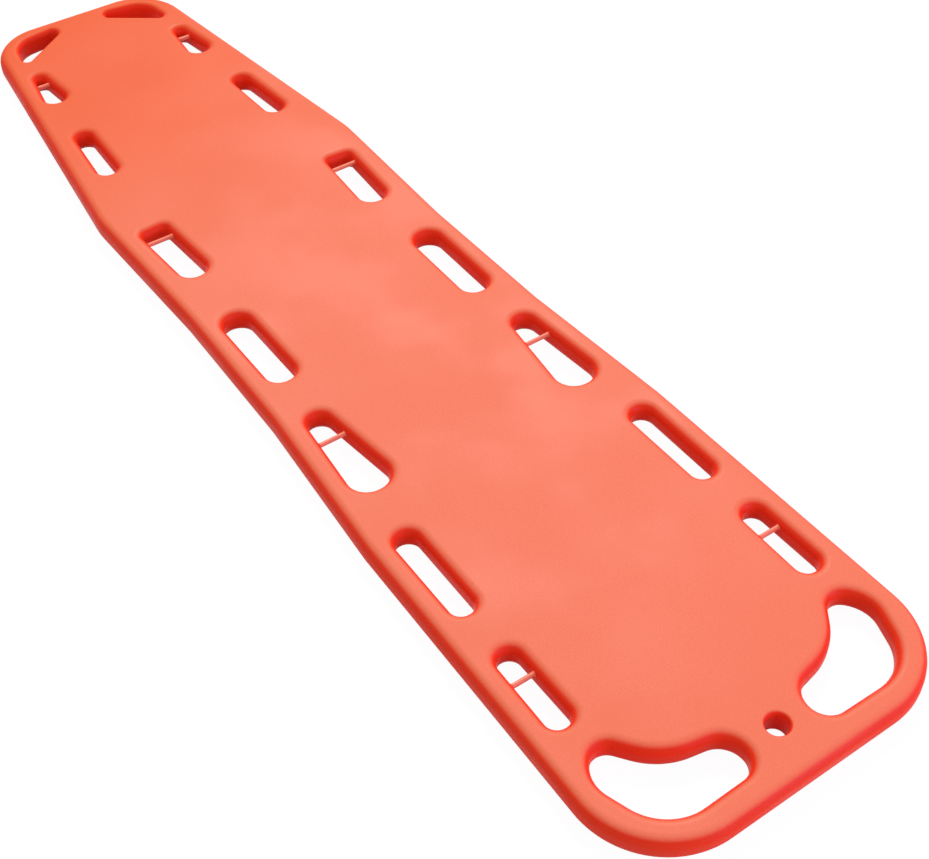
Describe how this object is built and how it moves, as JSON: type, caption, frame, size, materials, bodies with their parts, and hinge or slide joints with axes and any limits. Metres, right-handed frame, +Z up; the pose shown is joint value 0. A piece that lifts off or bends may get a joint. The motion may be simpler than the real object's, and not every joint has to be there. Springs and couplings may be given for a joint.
{
  "type": "spine board",
  "caption": "Moulded plastic spine board with side hand slots, kidney-shaped head grips, foot corner grips and cross pins for strap clips.",
  "frame": {"origin": "on the ground under the middle of the board", "axes": "+X points to the head end, +Y to the patient's right side, +Z up"},
  "size_m": [1.84, 0.4898, 0.036],
  "materials": {
    "orange_polyethylene": "rotationally moulded high-density polyethylene, softly glossy with a fine grain",
    "orange_pin": "smooth orange plastic rod",
    "core_foam": "rigid cream polyurethane foam",
    "glass_fibre": "pultruded glass fibre tube, satin",
    "orange_plug": "smooth push-in plastic plug"
  },
  "bodies": {
    "root": {"moulded_shell": "orange_polyethylene", "foam_core": "core_foam", "stiffening_tube_left": "glass_fibre", "stiffening_tube_right": "glass_fibre", "filling_plug": "orange_plug", "vent_plug": "orange_plug", "strap_pin_left_ankle": "orange_pin", "strap_pin_left_knee": "orange_pin", "strap_pin_left_hip": "orange_pin", "strap_pin_left_chest": "orange_pin", "strap_pin_right_ankle": "orange_pin", "strap_pin_right_knee": "orange_pin", "strap_pin_right_hip": "orange_pin", "strap_pin_right_chest": "orange_pin"}
  },
  "joints": []
}
